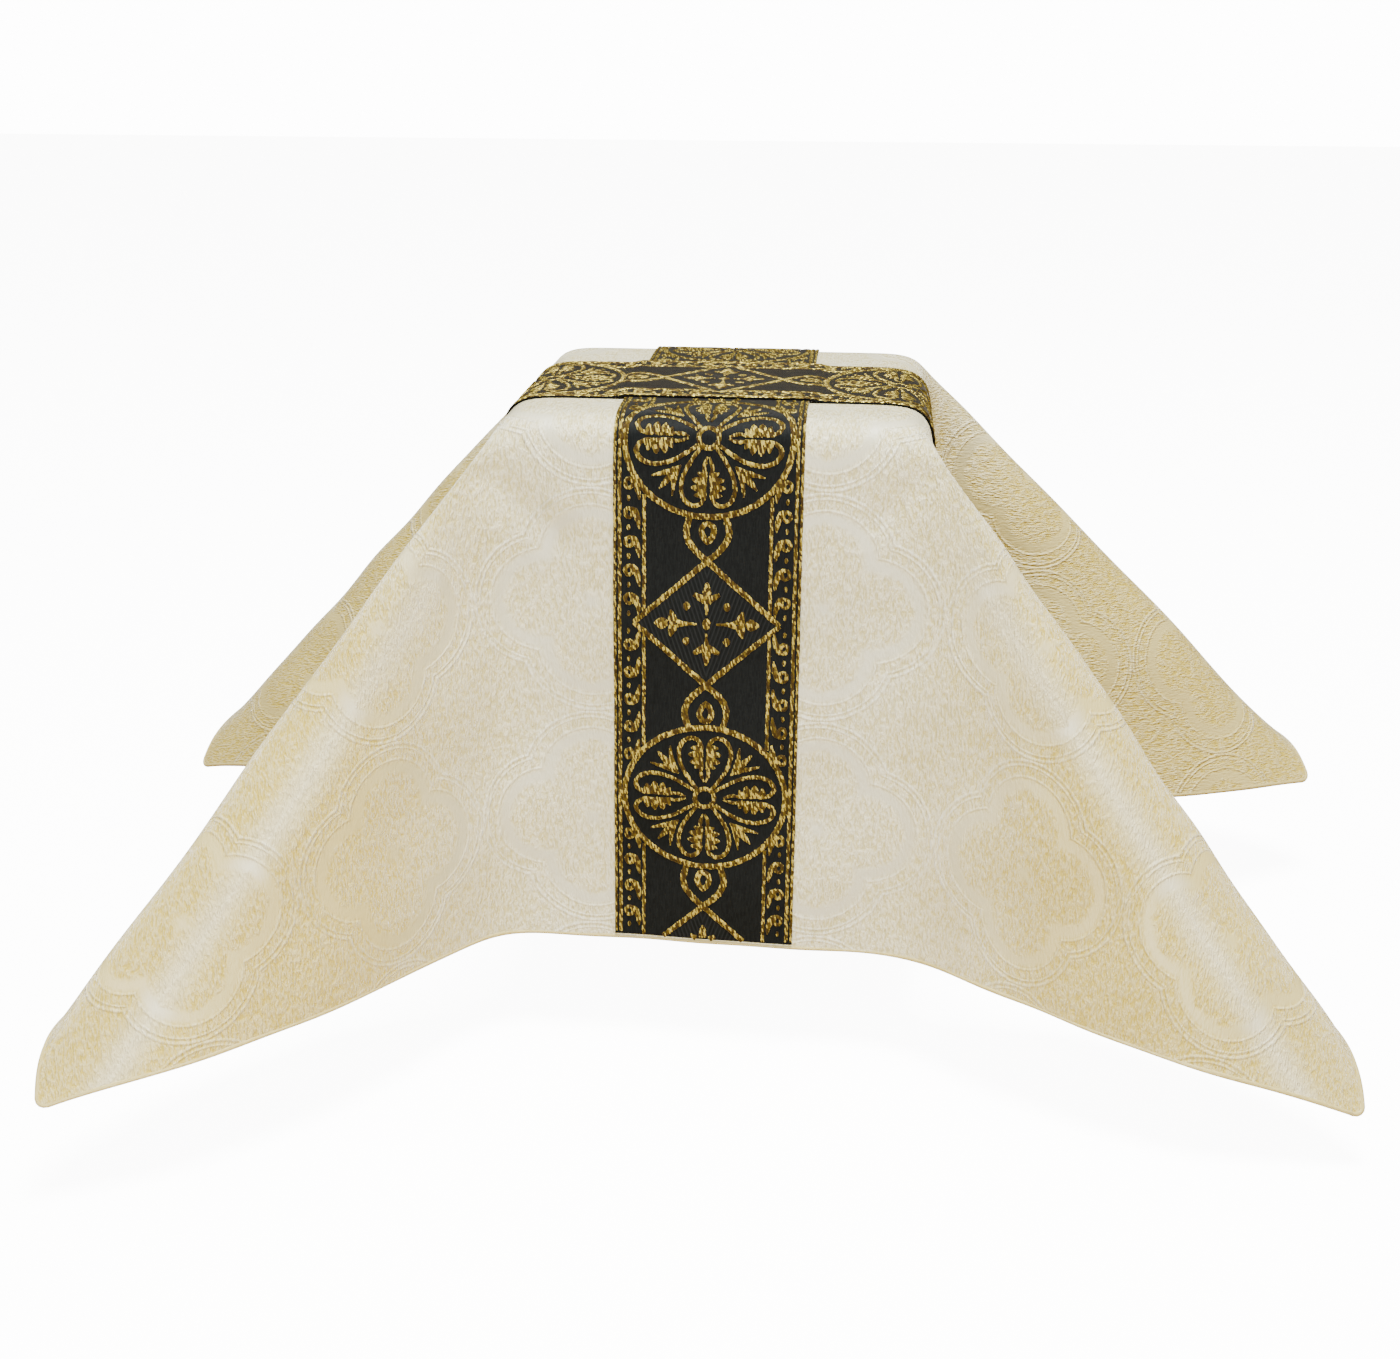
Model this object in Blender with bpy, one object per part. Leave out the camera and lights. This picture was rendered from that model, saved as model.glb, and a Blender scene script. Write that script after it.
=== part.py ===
"""Urn pall: a square of lined jacquard with a cross of two woven bands, hanging from a flat top.

Frame: metres, +Z up, front hem towards -Y. The origin is the middle of the flat underside of the
pall's top, where it rests on what it covers. The pall is hollow and its four corners hang as horns.
"""
import math

import bpy
import numpy as np

# Cloth, as it was cut
CLOTH_WIDTH = 0.790          # along X
CLOTH_DEPTH = 0.760          # along Y
CLOTH_THICKNESS = 0.002      # face cloth, lining and the hem between them

# Woven bands
BAND_WIDTH = 0.100
BAND_THICKNESS = 0.001
BAND_GAP = 0.0003            # sewing gap between pieces
BAND_END = 0.002             # a band stops this far short of the hem
STEP_CLEARANCE = 0.001       # the upper band is at full height this far outside the lower band
STEP_RAMP = 0.009            # and comes down to the cloth over this length

# The flat top that the cloth hangs from, measured to the virtual sharp edges
TOP_HALF_WIDTH = 0.117
TOP_FRONT = 0.097
TOP_BACK = 0.125
FOLD_RADIUS = 0.022          # the cloth rounds each edge by this much

# How far each hanging side leans outwards from plumb, in degrees: the front and the back at
# their left and at their right end
FRONT_LEAN = (3.5, 5.6)
BACK_LEAN = (3.0, 3.0)
SIDE_LEAN = 1.1

# The four horns. azimuth turns the ridge from straight ahead towards the side, reach is its angle
# from plumb, opening is how far its two layers stand apart (radians), rounding is the softness of
# the ridge, and skew moves the ridge off the cloth's corner (radians of the flat cloth).
HORNS = (
    dict(side_x=-1, side_y=-1, azimuth=45.4, reach=44.5, opening=0.103, rounding=0.10, skew=0.076),
    dict(side_x=1, side_y=-1, azimuth=66.5, reach=39.2, opening=0.120, rounding=0.10, skew=0.071),
    dict(side_x=-1, side_y=1, azimuth=89.7, reach=41.8, opening=0.177, rounding=0.22, skew=-0.088),
    dict(side_x=1, side_y=1, azimuth=85.3, reach=44.3, opening=0.206, rounding=0.10, skew=-0.058),
)

# Softening of the creases: each pass moves a point towards the mean of its four neighbours
FINE_POINTS = 191            # points along each side of the fine surface
SOFTEN_PASSES = 24
SOFTEN_AT_TOP = 0.6
SOFTEN_DEPTH = 0.20          # the share of a pass grows to all of it over this depth

# Steps of the solids' own grid
HANG_STEP = 0.020
FOLD_STEP = 0.009
TOP_STEP = 0.026

IVORY = (0.80, 0.74, 0.62, 1.0)
BLACK_GOLD = (0.10, 0.085, 0.05, 1.0)

HALF_WIDTH = CLOTH_WIDTH / 2
HALF_DEPTH = CLOTH_DEPTH / 2
FOLD_EXTRA = (2 - math.pi / 2) * FOLD_RADIUS    # what a rounded edge saves over a sharp one


def clear_scene():
    for thing in list(bpy.data.objects):
        bpy.data.objects.remove(thing, do_unlink=True)


def smooth_step(t):
    t = np.clip(t, 0, 1)
    return t * t * (3 - 2 * t)


def past_folds(s, low_fold, high_fold):
    """Move coordinate s outwards past each fold by what rounding that fold saves."""
    arc = FOLD_RADIUS * math.pi / 2
    high = smooth_step((s - (high_fold - FOLD_RADIUS)) / arc)
    low = smooth_step((low_fold + FOLD_RADIUS - s) / arc)
    return s + FOLD_EXTRA * (high - low)


def lean(side_x, side_y, degrees):
    """Unit vectors that hang down and lean outwards to the given side."""
    angle = np.radians(degrees)
    return np.stack([side_x * np.sin(angle), side_y * np.sin(angle), -np.cos(angle)], -1)


def depth_lean(side_y, x):
    """Lean of the front or the back side, in degrees, at x between its two horns."""
    ends = FRONT_LEAN if side_y < 0 else BACK_LEAN
    return np.interp(x, (-TOP_HALF_WIDTH, TOP_HALF_WIDTH), ends)


def between(start, end, share):
    """Unit vectors on the great circle from start to end."""
    angle = math.acos(float(np.clip(start @ end, -1, 1)))
    near = np.sin((1 - share) * angle)[:, None] * start
    far = np.sin(share * angle)[:, None] * end
    return (near + far) / math.sin(angle)


def horn_directions(angle, horn, fold_y):
    """Unit vectors from the top's corner down one horn.

    angle is measured in the flat cloth, from the front or back side to the left or right side. The
    vectors run from that first side out to the ridge and back to the second, and bulge outwards.
    """
    width = HALF_WIDTH + FOLD_EXTRA - TOP_HALF_WIDTH
    depth = HALF_DEPTH + FOLD_EXTRA - fold_y
    ridge_angle = math.atan2(width, depth) + horn["skew"]
    azimuth = math.radians(horn["azimuth"])
    reach = math.radians(horn["reach"])
    ridge = np.array([
        horn["side_x"] * math.sin(reach) * math.sin(azimuth),
        horn["side_y"] * math.sin(reach) * math.cos(azimuth),
        -math.cos(reach)])
    corner_x = horn["side_x"] * TOP_HALF_WIDTH
    first = lean(0, horn["side_y"], depth_lean(horn["side_y"], corner_x))
    second = lean(horn["side_x"], 0, SIDE_LEAN)
    on_first = angle < ridge_angle
    span = np.where(on_first, ridge_angle, math.pi / 2 - ridge_angle)
    x = (angle - ridge_angle) / span
    soft = horn["rounding"]
    share = 1 - (np.sqrt(x * x + soft * soft) - soft) / (math.sqrt(1 + soft * soft) - soft)
    vectors = np.where(on_first[:, None], between(first, ridge, share), between(second, ridge, share))
    outwards = np.array([-horn["side_x"] * math.cos(azimuth), horn["side_y"] * math.sin(azimuth), 0])
    vectors = vectors - (horn["opening"] * np.sin(math.pi * x))[:, None] * outwards
    return vectors / np.linalg.norm(vectors, axis=1)[:, None]


def sharp_drape(u, v):
    """The cloth's points for flat coordinates u and v, with every crease still sharp."""
    u = past_folds(u, -TOP_HALF_WIDTH, TOP_HALF_WIDTH)
    v = past_folds(v, -TOP_FRONT, TOP_BACK)
    top_u = np.clip(u, -TOP_HALF_WIDTH, TOP_HALF_WIDTH)
    top_v = np.clip(v, -TOP_FRONT, TOP_BACK)
    over_u = np.abs(u - top_u)
    over_v = np.abs(v - top_v)
    points = np.stack([top_u, top_v, np.zeros_like(u)], -1)
    hang_front = lean(0, -1, depth_lean(-1, top_u))
    hang_back = lean(0, 1, depth_lean(1, top_u))
    hang_y = np.where((v < 0)[..., None], hang_front, hang_back)
    hang_x = np.where((u < 0)[..., None], lean(-1, 0, SIDE_LEAN), lean(1, 0, SIDE_LEAN))
    points = points + (over_v * (over_u == 0))[..., None] * hang_y
    points = points + (over_u * (over_v == 0))[..., None] * hang_x
    for horn in HORNS:
        fold_y = TOP_FRONT if horn["side_y"] < 0 else TOP_BACK
        part = (over_u > 0) & (over_v > 0) & (u * horn["side_x"] > 0) & (v * horn["side_y"] > 0)
        radius = np.hypot(over_u[part], over_v[part])
        angle = np.arctan2(over_u[part], over_v[part])
        corner = np.array([horn["side_x"] * TOP_HALF_WIDTH, horn["side_y"] * fold_y, 0])
        points[part] = corner + radius[:, None] * horn_directions(angle, horn, fold_y)
    return points


def softened(points, u, v):
    """Round the creases, more so lower down, and keep the slope at the hem."""
    drop_u = u - np.clip(u, -TOP_HALF_WIDTH, TOP_HALF_WIDTH)
    drop_v = v - np.clip(v, -TOP_FRONT, TOP_BACK)
    share = np.clip(SOFTEN_AT_TOP + np.hypot(drop_u, drop_v) / SOFTEN_DEPTH, 0, 1)[..., None]
    for _ in range(SOFTEN_PASSES):
        wide = np.pad(points, ((1, 1), (1, 1), (0, 0)))
        wide[0, 1:-1] = 2 * points[0] - points[1]
        wide[-1, 1:-1] = 2 * points[-1] - points[-2]
        wide[1:-1, 0] = 2 * points[:, 0] - points[:, 1]
        wide[1:-1, -1] = 2 * points[:, -1] - points[:, -2]
        mean = (wide[:-2, 1:-1] + wide[2:, 1:-1] + wide[1:-1, :-2] + wide[1:-1, 2:]) / 4
        points = points + share * (mean - points)
    return points


def fine_surface():
    """The outer face of the cloth and its normals, on a fine even grid of the flat cloth."""
    u_line = np.linspace(-HALF_WIDTH, HALF_WIDTH, FINE_POINTS)
    v_line = np.linspace(-HALF_DEPTH, HALF_DEPTH, FINE_POINTS)
    u, v = np.meshgrid(u_line, v_line, indexing="ij")
    points = softened(sharp_drape(u, v), u, v)
    points[..., 2] += CLOTH_THICKNESS
    normals = np.cross(np.gradient(points, u_line, axis=0), np.gradient(points, v_line, axis=1))
    normals /= np.linalg.norm(normals, axis=-1)[..., None]
    return u_line, v_line, points, normals


def sample(surface, u_lines, v_lines):
    """Points and normals of the fine surface where the given grid lines cross."""
    fine_u, fine_v, points, normals = surface
    iu = np.interp(u_lines, fine_u, np.arange(len(fine_u)))
    iv = np.interp(v_lines, fine_v, np.arange(len(fine_v)))
    low_u = np.minimum(iu.astype(int), len(fine_u) - 2)
    low_v = np.minimum(iv.astype(int), len(fine_v) - 2)
    part_u = (iu - low_u)[:, None, None]
    part_v = (iv - low_v)[None, :, None]
    results = []
    for values in (points, normals):
        near = values[low_u][:, low_v] * (1 - part_v) + values[low_u][:, low_v + 1] * part_v
        far = values[low_u + 1][:, low_v] * (1 - part_v) + values[low_u + 1][:, low_v + 1] * part_v
        results.append(near * (1 - part_u) + far * part_u)
    results[1] /= np.linalg.norm(results[1], axis=-1)[..., None]
    return results


def grid_lines(stops, steps):
    """Lines from stop to stop, each stretch cut evenly into steps no longer than its own."""
    lines = [stops[0]]
    for start, end, step in zip(stops[:-1], stops[1:], steps):
        count = max(1, math.ceil((end - start) / step - 0.01))
        lines.extend(start + (end - start) * (k + 1) / count for k in range(count))
    return np.array(lines)


def axis_lines(half, low_fold, high_fold):
    """Grid lines across the cloth: fine over the folds, and one on each edge of the band."""
    edge = BAND_WIDTH / 2
    stops = (
        -half, low_fold - FOLD_RADIUS, low_fold + FOLD_RADIUS, -edge,
        edge, high_fold - FOLD_RADIUS, high_fold + FOLD_RADIUS, half)
    steps = (HANG_STEP, FOLD_STEP, TOP_STEP, TOP_STEP, TOP_STEP, FOLD_STEP, HANG_STEP)
    return grid_lines(stops, steps)


def sheet_mesh(name, outer, inner, u_lines, v_lines):
    """A closed sheet between two grids of points, its diagonals running out along the horns."""
    rows, columns = outer.shape[:2]
    index = np.arange(rows * columns).reshape(rows, columns)
    below = index + rows * columns
    middle_u = (u_lines[:-1] + u_lines[1:]) / 2
    middle_v = (v_lines[:-1] + v_lines[1:]) / 2
    faces = []
    for i in range(rows - 1):
        for j in range(columns - 1):
            ring = [(i, j), (i + 1, j), (i + 1, j + 1), (i, j + 1)]
            if middle_u[i] * middle_v[j] < 0:
                ring = ring[1:] + ring[:1]
            for corners in ((ring[0], ring[1], ring[2]), (ring[0], ring[2], ring[3])):
                faces.append([index[c] for c in corners])
                faces.append([below[c] for c in reversed(corners)])
    rim = (
        [index[i, 0] for i in range(rows)]
        + [index[-1, j] for j in range(1, columns)]
        + [index[i, -1] for i in range(rows - 2, -1, -1)]
        + [index[0, j] for j in range(columns - 2, 0, -1)])
    offset = rows * columns
    for a, b in zip(rim, rim[1:] + rim[:1]):
        faces.append([b, a, a + offset])
        faces.append([b, a + offset, b + offset])
    points = np.concatenate([outer.reshape(-1, 3), inner.reshape(-1, 3)])
    mesh = bpy.data.meshes.new(name)
    mesh.from_pydata(points.tolist(), [], [[int(c) for c in face] for face in faces])
    mesh.validate()
    mesh.shade_smooth()
    mesh.set_sharp_from_angle(angle=math.radians(50))
    return mesh


def add_object(name, mesh, material, parent):
    thing = bpy.data.objects.new(name, mesh)
    thing.parent = parent
    mesh.materials.append(material)
    bpy.context.scene.collection.objects.link(thing)


def plain_material(name, color, roughness, metallic):
    material = bpy.data.materials.new(name)
    material.use_nodes = True
    shader = material.node_tree.nodes["Principled BSDF"]
    shader.inputs["Base Color"].default_value = color
    shader.inputs["Roughness"].default_value = roughness
    shader.inputs["Metallic"].default_value = metallic
    return material


def panel_mesh(surface):
    """The whole jacquard cloth with its lining and hem, as one sheet."""
    u_lines = axis_lines(HALF_WIDTH, -TOP_HALF_WIDTH, TOP_HALF_WIDTH)
    v_lines = axis_lines(HALF_DEPTH, -TOP_FRONT, TOP_BACK)
    points, normals = sample(surface, u_lines, v_lines)
    return sheet_mesh("panel", points, points - CLOTH_THICKNESS * normals, u_lines, v_lines)


def inside(lines, half):
    return lines[np.abs(lines) <= half + 1e-9]


def lower_band_mesh(surface):
    """The band from front to back, sewn straight onto the cloth."""
    u_lines = inside(axis_lines(HALF_WIDTH, -TOP_HALF_WIDTH, TOP_HALF_WIDTH), BAND_WIDTH / 2)
    v_lines = axis_lines(HALF_DEPTH, -TOP_FRONT, TOP_BACK)
    v_lines[[0, -1]] = BAND_END - HALF_DEPTH, HALF_DEPTH - BAND_END
    points, normals = sample(surface, u_lines, v_lines)
    under = points + BAND_GAP * normals
    return sheet_mesh("band_front_back", under + BAND_THICKNESS * normals, under, u_lines, v_lines)


def upper_band_mesh(surface):
    """The band from side to side, which steps over the other one."""
    cloth_lines = axis_lines(HALF_WIDTH, -TOP_HALF_WIDTH, TOP_HALF_WIDTH)
    step_start = BAND_WIDTH / 2 + STEP_CLEARANCE
    step_lines = np.array([step_start, step_start + STEP_RAMP / 2, step_start + STEP_RAMP])
    beyond = np.abs(cloth_lines) > step_start + STEP_RAMP
    within = np.abs(cloth_lines) < BAND_WIDTH / 2 - STEP_CLEARANCE
    kept = cloth_lines[beyond | within]
    u_lines = np.sort(np.concatenate([kept, step_lines, -step_lines]))
    u_lines[[0, -1]] = BAND_END - HALF_WIDTH, HALF_WIDTH - BAND_END
    v_lines = inside(axis_lines(HALF_DEPTH, -TOP_FRONT, TOP_BACK), BAND_WIDTH / 2)
    points, normals = sample(surface, u_lines, v_lines)
    rise = 1 - smooth_step((np.abs(u_lines) - step_start) / STEP_RAMP)
    lift = BAND_GAP + (BAND_THICKNESS + BAND_GAP) * rise
    under = points + lift[:, None, None] * normals
    return sheet_mesh("band_side_side", under + BAND_THICKNESS * normals, under, u_lines, v_lines)


def build():
    clear_scene()
    pall = bpy.data.objects.new("pall", None)
    bpy.context.scene.collection.objects.link(pall)
    surface = fine_surface()
    jacquard = plain_material("ivory_jacquard", IVORY, 0.55, 0.0)
    galloon = plain_material("black_gold_galloon", BLACK_GOLD, 0.45, 0.35)
    add_object("panel", panel_mesh(surface), jacquard, pall)
    add_object("band_front_back", lower_band_mesh(surface), galloon, pall)
    add_object("band_side_side", upper_band_mesh(surface), galloon, pall)


build()
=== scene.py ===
import math

import bpy
import numpy as np
from mathutils import Matrix, Vector


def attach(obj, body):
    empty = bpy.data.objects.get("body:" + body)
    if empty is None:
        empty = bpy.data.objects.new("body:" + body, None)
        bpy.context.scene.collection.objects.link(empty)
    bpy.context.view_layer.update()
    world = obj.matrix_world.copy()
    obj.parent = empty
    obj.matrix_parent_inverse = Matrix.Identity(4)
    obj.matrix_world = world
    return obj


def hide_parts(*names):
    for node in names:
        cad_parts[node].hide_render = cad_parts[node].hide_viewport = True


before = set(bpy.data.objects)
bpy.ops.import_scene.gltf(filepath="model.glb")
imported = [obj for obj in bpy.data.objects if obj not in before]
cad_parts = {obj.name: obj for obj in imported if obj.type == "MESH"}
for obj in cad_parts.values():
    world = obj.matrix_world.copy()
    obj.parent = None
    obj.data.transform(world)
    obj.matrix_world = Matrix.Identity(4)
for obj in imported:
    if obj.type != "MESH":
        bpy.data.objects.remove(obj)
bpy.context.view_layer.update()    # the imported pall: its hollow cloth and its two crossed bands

millimetre = 0.001
print("frame loaded:", sorted(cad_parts))


# The drape: the same folds as the solid, worked out again from the same sizes

drape = {
    "width": 0.790, "depth": 0.760, "thickness": 0.002,    # the cut cloth, in metres
    "topHalfWidth": 0.117, "topFront": 0.097, "topBack": 0.125,
    "foldRadius": 0.022,
    "frontLean": (3.5, 5.6), "backLean": (3.0, 3.0), "sideLean": 1.1,    # degrees out from plumb
    "finePoints": 191,
    "softenPasses": 24, "softenAtTop": 0.6, "softenDepth": 0.20,
    "rippleDepth": 0.08,    # how far below the top the slow waves take to come up
}
horns = (    # azimuth and reach of each ridge in degrees, the rest in radians of the flat cloth
    dict(sideX=-1, sideY=-1, azimuth=45.4, reach=44.5, opening=0.103, rounding=0.10, skew=0.076),
    dict(sideX=1, sideY=-1, azimuth=66.5, reach=39.2, opening=0.120, rounding=0.10, skew=0.071),
    dict(sideX=-1, sideY=1, azimuth=89.7, reach=41.8, opening=0.177, rounding=0.22, skew=-0.088),
    dict(sideX=1, sideY=1, azimuth=85.3, reach=44.3, opening=0.206, rounding=0.10, skew=-0.058),
)
# Soft troughs and ridges that fan out of a corner of the top: the corner's two sides, the angle
# from the front and the spread in degrees, the height, and how far out it is full
hornFolds = (
    (-1, -1, 36.0, 6.0, 0.0055, 0.24),
    (-1, -1, 15.0, 7.0, -0.0030, 0.20),
    (-1, -1, 66.0, 7.0, -0.0035, 0.25),
    (1, -1, 35.0, 6.0, 0.0060, 0.20),
    (1, -1, 14.0, 7.0, -0.0030, 0.20),
    (1, -1, 68.0, 6.0, -0.0030, 0.28),
    (-1, 1, 24.0, 6.0, -0.0035, 0.25),
    (-1, 1, 62.0, 7.0, 0.0030, 0.28),
    (1, 1, 28.0, 6.0, -0.0035, 0.26),
    (1, 1, 64.0, 7.0, 0.0028, 0.30),
)
dents = (    # short soft creases: their flat start and end, width and height
    ((-0.116, -0.118), (-0.078, -0.152), 0.009, -0.0024),
    ((0.112, -0.112), (0.086, -0.140), 0.008, -0.0014),
    ((-0.150, -0.060), (-0.140, 0.030), 0.010, -0.0016),
    ((0.140, 0.060), (0.165, 0.010), 0.010, -0.0016),
)
ripples = (    # slow unevenness of a lined cloth: wave length, turn, phase and height
    (0.118, 0.35, 0.6, 0.0007),
    (0.083, 1.92, 2.1, 0.0005),
    (0.057, 2.75, 4.0, 0.0003),
)
halfWidth = drape["width"] / 2
halfDepth = drape["depth"] / 2
halfTop, topFront, topBack = drape["topHalfWidth"], drape["topFront"], drape["topBack"]
foldExtra = (2 - math.pi / 2) * drape["foldRadius"]


def smoothStep(t):
    t = np.clip(t, 0, 1)
    return t * t * (3 - 2 * t)


def pastFolds(s, lowFold, highFold):    # flat place s, moved outwards by what each rounded fold saves
    arc = drape["foldRadius"] * math.pi / 2
    high = smoothStep((s - (highFold - drape["foldRadius"])) / arc)
    low = smoothStep((lowFold + drape["foldRadius"] - s) / arc)
    return s + foldExtra * (high - low)


def lean(sideX, sideY, degrees):    # unit vectors straight down, tipped outwards
    angle = np.radians(degrees)
    return np.stack([sideX * np.sin(angle), sideY * np.sin(angle), -np.cos(angle)], -1)


def depthLean(sideY, x):    # lean of the front or the back side at x between its two horns
    ends = drape["frontLean"] if sideY < 0 else drape["backLean"]
    return np.interp(x, (-halfTop, halfTop), ends)


def between(start, end, share):    # unit vectors along the great circle from start to end
    angle = math.acos(float(np.clip(start @ end, -1, 1)))
    ofStart = np.sin((1 - share) * angle)[:, None] * start
    ofEnd = np.sin(share * angle)[:, None] * end
    return (ofStart + ofEnd) / math.sin(angle)


def hornDirections(angle, horn, foldY):
    # A horn is a cone of straight lines out of the top's corner. For each angle in the flat cloth
    # the line's direction runs from the hanging front out to the ridge and back to the hanging
    # side, along great circles that bulge outwards and turn softly at the ridge.
    width = halfWidth + foldExtra - halfTop
    depth = halfDepth + foldExtra - foldY
    ridgeAngle = math.atan2(width, depth) + horn["skew"]
    azimuth = math.radians(horn["azimuth"])
    reach = math.radians(horn["reach"])
    ridge = np.array([
        horn["sideX"] * math.sin(reach) * math.sin(azimuth),
        horn["sideY"] * math.sin(reach) * math.cos(azimuth),
        -math.cos(reach)])
    first = lean(0, horn["sideY"], depthLean(horn["sideY"], horn["sideX"] * halfTop))
    second = lean(horn["sideX"], 0, drape["sideLean"])
    onFirst = angle < ridgeAngle
    span = np.where(onFirst, ridgeAngle, math.pi / 2 - ridgeAngle)
    x = (angle - ridgeAngle) / span
    soft = horn["rounding"]
    share = 1 - (np.sqrt(x * x + soft * soft) - soft) / (math.sqrt(1 + soft * soft) - soft)
    vectors = np.where(onFirst[:, None], between(first, ridge, share), between(second, ridge, share))
    outwards = np.array([-horn["sideX"] * math.cos(azimuth), horn["sideY"] * math.sin(azimuth), 0])
    vectors = vectors - (horn["opening"] * np.sin(math.pi * x))[:, None] * outwards
    return vectors / np.linalg.norm(vectors, axis=1)[:, None]


def sharpDrape(u, v):    # where each flat place (u, v) hangs while every crease is still sharp
    u = pastFolds(u, -halfTop, halfTop)
    v = pastFolds(v, -topFront, topBack)
    topU = np.clip(u, -halfTop, halfTop)
    topV = np.clip(v, -topFront, topBack)
    overU = np.abs(u - topU)
    overV = np.abs(v - topV)
    points = np.stack([topU, topV, np.zeros_like(u)], -1)
    hangY = np.where((v < 0)[..., None], lean(0, -1, depthLean(-1, topU)), lean(0, 1, depthLean(1, topU)))
    hangX = np.where((u < 0)[..., None], lean(-1, 0, drape["sideLean"]), lean(1, 0, drape["sideLean"]))
    points = points + (overV * (overU == 0))[..., None] * hangY
    points = points + (overU * (overV == 0))[..., None] * hangX
    for horn in horns:
        foldY = topFront if horn["sideY"] < 0 else topBack
        part = (overU > 0) & (overV > 0) & (u * horn["sideX"] > 0) & (v * horn["sideY"] > 0)
        radius = np.hypot(overU[part], overV[part])
        angle = np.arctan2(overU[part], overV[part])
        corner = np.array([horn["sideX"] * halfTop, horn["sideY"] * foldY, 0])
        points[part] = corner + radius[:, None] * hornDirections(angle, horn, foldY)
    return points


def pastTop(u, v):    # how far each flat place lies outside the top; 0 on the top itself
    return np.hypot(u - np.clip(u, -halfTop, halfTop), v - np.clip(v, -topFront, topBack))


def softened(points, u, v):
    # Each pass moves a point towards the mean of its four neighbours, fully so lower down, with
    # the rows past the hem carried on straight.
    share = np.clip(drape["softenAtTop"] + pastTop(u, v) / drape["softenDepth"], 0, 1)[..., None]
    for _ in range(drape["softenPasses"]):
        wide = np.pad(points, ((1, 1), (1, 1), (0, 0)), mode="reflect", reflect_type="odd")
        mean = (wide[:-2, 1:-1] + wide[2:, 1:-1] + wide[1:-1, :-2] + wide[1:-1, 2:]) / 4
        points = points + share * (mean - points)
    return points


def faceNormals(points, uLine, vLine):
    normals = np.cross(np.gradient(points, uLine, axis=0), np.gradient(points, vLine, axis=1))
    return normals / np.linalg.norm(normals, axis=-1)[..., None]


def unevenness(u, v):
    # Height of the listed creases at each flat place: bell-shaped across a fan line or a
    # short line, fading in from its start, plus three slow waves that fade out on the flat top.
    height = np.zeros_like(u)
    for sideX, sideY, middle, spread, high, grows in hornFolds:
        overU = u * sideX - halfTop
        overV = v * sideY - (topFront if sideY < 0 else topBack)
        angle = np.degrees(np.arctan2(overU, overV))
        bell = np.exp(-((angle - middle) / spread) ** 2)
        inside = (overU > 0) & (overV > 0)
        height += inside * high * bell * smoothStep(np.hypot(overU, overV) / grows)
    for start, end, width, high in dents:
        along = np.subtract(end, start)
        length = np.hypot(*along)
        run = ((u - start[0]) * along[0] + (v - start[1]) * along[1]) / length
        aside = ((v - start[1]) * along[0] - (u - start[0]) * along[1]) / length
        past = run - np.clip(run, 0, length)
        height += high * np.exp(-(aside ** 2 + past ** 2) / width ** 2)
    fade = smoothStep(pastTop(u, v) / drape["rippleDepth"])
    for length, turn, phase, high in ripples:
        across = u * math.cos(turn) + v * math.sin(turn)
        height += high * np.sin(2 * math.pi * across / length + phase) * fade
    return height


def hangCloth():    # the outer face and its normals, on an even grid of the flat cloth
    uLine = np.linspace(-halfWidth, halfWidth, drape["finePoints"])
    vLine = np.linspace(-halfDepth, halfDepth, drape["finePoints"])
    u, v = np.meshgrid(uLine, vLine, indexing="ij")
    points = softened(sharpDrape(u, v), u, v)
    points[..., 2] += drape["thickness"]
    points += unevenness(u, v)[..., None] * faceNormals(points, uLine, vLine)
    pads = dict(pad_width=((1, 1), (1, 1), (0, 0)), mode="reflect", reflect_type="odd")
    return {
        "points": np.pad(points, **pads),
        "normals": np.pad(faceNormals(points, uLine, vLine), **pads),
    }


hungCloth = hangCloth()


def cubicWeights(t):    # shares of four neighbours in a smooth curve through the middle two
    return (
        (-t ** 3 + 2 * t ** 2 - t) / 2,
        (3 * t ** 3 - 5 * t ** 2 + 2) / 2,
        (-3 * t ** 3 + 4 * t ** 2 + t) / 2,
        (t ** 3 - t ** 2) / 2)


def onCloth(u, v, lift):
    # Point of the outer face at flat place (u, v), raised by lift along the normal. The nearest
    # 4 x 4 points of the hung cloth are blended by cubic weights.
    last = drape["finePoints"] - 1
    placeU = (u + halfWidth) / drape["width"] * last
    placeV = (v + halfDepth) / drape["depth"] * last
    cellU = np.clip(np.floor(placeU).astype(int), 0, last - 1)
    cellV = np.clip(np.floor(placeV).astype(int), 0, last - 1)
    sharesU = cubicWeights(placeU - cellU)
    sharesV = cubicWeights(placeV - cellV)
    point, normal = 0, 0
    for i in range(4):
        for j in range(4):
            share = (sharesU[i] * sharesV[j])[..., None]
            point = point + share * hungCloth["points"][cellU + i, cellV + j]
            normal = normal + share * hungCloth["normals"][cellU + i, cellV + j]
    normal = normal / np.linalg.norm(normal, axis=-1)[..., None]
    return point + np.asarray(lift)[..., None] * normal


print("cloth hung")


# Mesh helpers

sharpFrom = 50    # degrees between two faces from which the edge between them is sharp
roundingSlack = 0.01    # share of a step by which a stretch may be too long before it gets one more


def gridFaces(rows, columns, closeRows=False, closeColumns=False):
    # Quads between neighbouring points of a grid, wound so that row x column points outwards
    index = np.arange(rows * columns).reshape(rows, columns)
    if closeRows:
        index = np.concatenate([index, index[:1]])
    if closeColumns:
        index = np.concatenate([index, index[:, :1]], axis=1)
    corners = [index[:-1, :-1], index[1:, :-1], index[1:, 1:], index[:-1, 1:]]
    return np.stack(corners, -1).reshape(-1, 4)


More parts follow.
